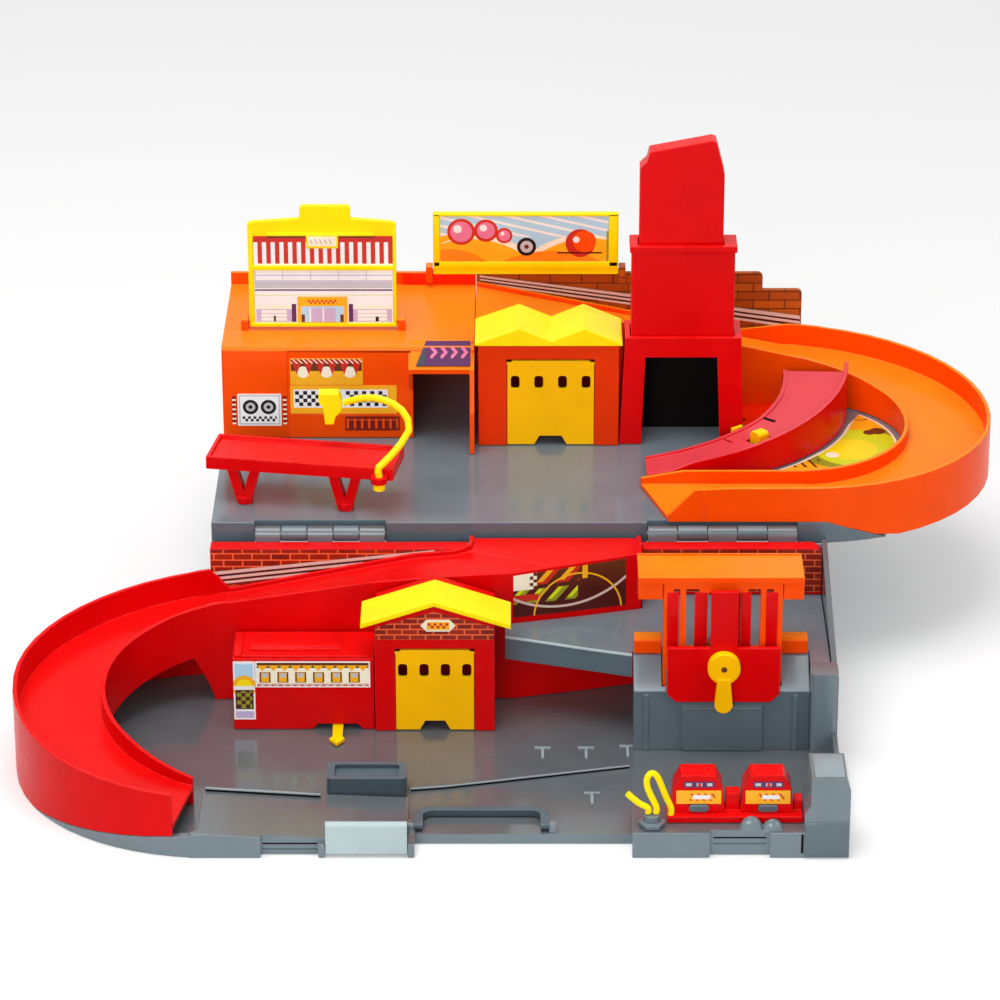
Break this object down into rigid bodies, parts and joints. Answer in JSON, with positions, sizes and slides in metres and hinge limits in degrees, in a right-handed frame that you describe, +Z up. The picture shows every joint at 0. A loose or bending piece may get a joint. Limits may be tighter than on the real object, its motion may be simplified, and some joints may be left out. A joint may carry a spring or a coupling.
{
  "type": "toy garage",
  "caption": "Fold-out toy garage for small toy cars: hinged trays with downhill track loops, crank lift, garages with swing doors, a telescoping tower and a launch ramp.",
  "frame": {"origin": "on the ground under the middle of the hinge line, which is the bottom centre of the whole part's box", "axes": "+X along the hinge line to the right as seen from the front, +Y from the lower front half to the raised rear half, +Z up"},
  "size_m": [0.5549, 0.449, 0.2795],
  "materials": {
    "front_tray_finish": "moulded gloss",
    "service_box_finish": "moulded gloss",
    "front_track_finish": "moulded gloss",
    "brick_wall_left_finish": "moulded gloss",
    "brick_wall_right_finish": "moulded gloss",
    "upper_platform_finish": "moulded gloss",
    "lift_housing_finish": "moulded gloss",
    "lift_front_plate_finish": "moulded gloss",
    "lift_guide_left_finish": "moulded gloss",
    "lift_guide_right_finish": "moulded gloss",
    "red_garage_shell_finish": "moulded gloss",
    "gable_roof_finish": "moulded gloss",
    "snack_shop_finish": "moulded gloss",
    "pump_island_finish": "moulded gloss",
    "fuel_pump_left_finish": "moulded gloss",
    "fuel_pump_right_finish": "moulded gloss",
    "hose_stand_finish": "moulded gloss",
    "fuel_hose_tall_finish": "moulded gloss",
    "fuel_hose_short_finish": "moulded gloss",
    "hinge_pin_left_finish": "satin",
    "hinge_pin_right_finish": "satin",
    "screw_front_garage_finish": "satin",
    "screw_front_shop_finish": "satin",
    "screw_front_lift_finish": "satin",
    "screw_front_platform_finish": "satin",
    "rear_tray_finish": "moulded gloss",
    "deck_building_finish": "moulded gloss",
    "rear_track_finish": "moulded gloss",
    "parapet_wall_finish": "moulded gloss",
    "orange_garage_shell_finish": "moulded gloss",
    "zigzag_roof_finish": "moulded gloss",
    "tower_base_finish": "moulded gloss",
    "launch_ramp_finish": "moulded gloss",
    "screw_rear_deck_finish": "satin",
    "screw_rear_garage_finish": "satin",
    "screw_rear_tower_finish": "satin",
    "screw_rear_ramp_finish": "satin",
    "lift_frame_finish": "moulded gloss",
    "lift_platform_finish": "moulded gloss",
    "lift_rack_finish": "moulded gloss",
    "crank_handle_finish": "moulded gloss",
    "crank_shaft_finish": "satin",
    "drive_pinion_finish": "moulded gloss",
    "red_garage_door_finish": "moulded gloss",
    "shop_lever_finish": "moulded gloss",
    "carry_handle_finish": "moulded gloss",
    "case_latch_finish": "moulded gloss",
    "orange_garage_door_finish": "moulded gloss",
    "tower_middle_finish": "moulded gloss",
    "tower_top_finish": "moulded gloss",
    "shop_sign_finish": "moulded gloss",
    "billboard_finish": "moulded gloss",
    "bench_top_finish": "moulded gloss",
    "bench_leg_left_finish": "moulded gloss",
    "bench_leg_right_finish": "moulded gloss",
    "spray_arm_finish": "moulded gloss",
    "spray_nozzle_finish": "moulded gloss",
    "car_stop_finish": "moulded gloss",
    "support_leg_left_finish": "moulded gloss",
    "support_leg_right_finish": "moulded gloss"
  },
  "bodies": {
    "front": {"front_tray": "front_tray_finish", "service_box": "service_box_finish", "front_track": "front_track_finish", "brick_wall_left": "brick_wall_left_finish", "brick_wall_right": "brick_wall_right_finish", "upper_platform": "upper_platform_finish", "lift_housing": "lift_housing_finish", "lift_front_plate": "lift_front_plate_finish", "lift_guide_left": "lift_guide_left_finish", "lift_guide_right": "lift_guide_right_finish", "red_garage_shell": "red_garage_shell_finish", "gable_roof": "gable_roof_finish", "snack_shop": "snack_shop_finish", "pump_island": "pump_island_finish", "fuel_pump_left": "fuel_pump_left_finish", "fuel_pump_right": "fuel_pump_right_finish", "hose_stand": "hose_stand_finish", "fuel_hose_tall": "fuel_hose_tall_finish", "fuel_hose_short": "fuel_hose_short_finish", "hinge_pin_left": "hinge_pin_left_finish", "hinge_pin_right": "hinge_pin_right_finish", "screw_front_garage": "screw_front_garage_finish", "screw_front_shop": "screw_front_shop_finish", "screw_front_lift": "screw_front_lift_finish", "screw_front_platform": "screw_front_platform_finish"},
    "rear": {"rear_tray": "rear_tray_finish", "deck_building": "deck_building_finish", "rear_track": "rear_track_finish", "parapet_wall": "parapet_wall_finish", "orange_garage_shell": "orange_garage_shell_finish", "zigzag_roof": "zigzag_roof_finish", "tower_base": "tower_base_finish", "launch_ramp": "launch_ramp_finish", "screw_rear_deck": "screw_rear_deck_finish", "screw_rear_garage": "screw_rear_garage_finish", "screw_rear_tower": "screw_rear_tower_finish", "screw_rear_ramp": "screw_rear_ramp_finish"},
    "lift": {"lift_frame": "lift_frame_finish", "lift_platform": "lift_platform_finish", "lift_rack": "lift_rack_finish"},
    "crank": {"crank_handle": "crank_handle_finish", "crank_shaft": "crank_shaft_finish", "drive_pinion": "drive_pinion_finish"},
    "red_door": {"red_garage_door": "red_garage_door_finish"},
    "lever": {"shop_lever": "shop_lever_finish"},
    "handle": {"carry_handle": "carry_handle_finish"},
    "latch": {"case_latch": "case_latch_finish"},
    "orange_door": {"orange_garage_door": "orange_garage_door_finish"},
    "tower_middle": {"tower_middle": "tower_middle_finish"},
    "tower_top": {"tower_top": "tower_top_finish"},
    "sign": {"shop_sign": "shop_sign_finish"},
    "board": {"billboard": "billboard_finish"},
    "bench": {"bench_top": "bench_top_finish", "bench_leg_left": "bench_leg_left_finish", "bench_leg_right": "bench_leg_right_finish"},
    "spray": {"spray_arm": "spray_arm_finish", "spray_nozzle": "spray_nozzle_finish"},
    "car_stop": {"car_stop": "car_stop_finish"},
    "leg_left": {"support_leg_left": "support_leg_left_finish"},
    "leg_right": {"support_leg_right": "support_leg_right_finish"}
  },
  "joints": [
    {"name": "case_fold", "type": "hinge", "parent": "front", "child": "rear", "pos_m": [0, 0, 0.086], "axis": [1, 0, 0], "range_deg": [0, 100]},
    {"name": "red_garage_door_hinge", "type": "hinge", "parent": "front", "child": "red_door", "pos_m": [-0.04675, -0.0882, 0.054], "axis": [-1, 0, 0], "range_deg": [0, 85]},
    {"name": "orange_garage_door_hinge", "type": "hinge", "parent": "rear", "child": "orange_door", "pos_m": [0.0185, 0.1118, 0.144], "axis": [-1, 0, 0], "range_deg": [0, 85]},
    {"name": "lift_crank", "type": "hinge", "parent": "front", "child": "crank", "pos_m": [0.112, -0.1159, 0.06], "axis": [0, 1, 0], "range_deg": [0, 207]},
    {"name": "lift_slide", "type": "slide", "parent": "front", "child": "lift", "axis": [0, 0, 1], "range_m": [-0.0289, 0]},
    {"name": "shop_lever_pivot", "type": "hinge", "parent": "front", "child": "lever", "pos_m": [-0.101, -0.08, 0.0066], "axis": [0, 0, 1], "range_deg": [-20, 20]},
    {"name": "carry_handle_pivot", "type": "hinge", "parent": "front", "child": "handle", "pos_m": [0, -0.205, 0.0086], "axis": [1, 0, 0], "range_deg": [0, 150]},
    {"name": "case_latch_pivot", "type": "hinge", "parent": "front", "child": "latch", "pos_m": [0, -0.223, 0.003], "axis": [1, 0, 0], "range_deg": [0, 80]},
    {"name": "tower_middle_slide", "type": "slide", "parent": "rear", "child": "tower_middle", "axis": [0, 0, 1], "range_m": [-0.043, 0]},
    {"name": "tower_top_slide", "type": "slide", "parent": "tower_middle", "child": "tower_top", "axis": [0, 0, 1], "range_m": [-0.055, 0]},
    {"name": "shop_sign_hinge", "type": "hinge", "parent": "rear", "child": "sign", "pos_m": [0, 0.1515, 0.154], "axis": [-1, 0, 0], "range_deg": [0, 84]},
    {"name": "billboard_hinge", "type": "hinge", "parent": "rear", "child": "board", "pos_m": [0, 0.219, 0.1605], "axis": [1, 0, 0], "range_deg": [0, 90]},
    {"name": "bench_pivot", "type": "hinge", "parent": "rear", "child": "bench", "pos_m": [-0.1573, 0.03, 0.114], "axis": [0, 0, 1], "range_deg": [-5, 15]},
    {"name": "spray_arm_pivot", "type": "hinge", "parent": "bench", "child": "spray", "pos_m": [-0.07943, 0.00748, 0.114], "axis": [0, 0, 1], "range_deg": [-30, 30]},
    {"name": "car_stop_pivot", "type": "hinge", "parent": "rear", "child": "car_stop", "pos_m": [0.13242, 0.09972, 0.09796], "axis": [-0.7771, -0.6293, 0], "range_deg": [0, 6]},
    {"name": "support_leg_left_pivot", "type": "hinge", "parent": "rear", "child": "leg_left", "pos_m": [-0.12, 0.205, 0.0835], "axis": [1, 0, 0], "range_deg": [-90, 0]},
    {"name": "support_leg_right_pivot", "type": "hinge", "parent": "rear", "child": "leg_right", "pos_m": [0.12, 0.205, 0.0835], "axis": [1, 0, 0], "range_deg": [-90, 0]}
  ],
  "couplings": [
    {"joint": "lift_crank", "follows": "lift_slide", "rad_per_m": -125}
  ]
}
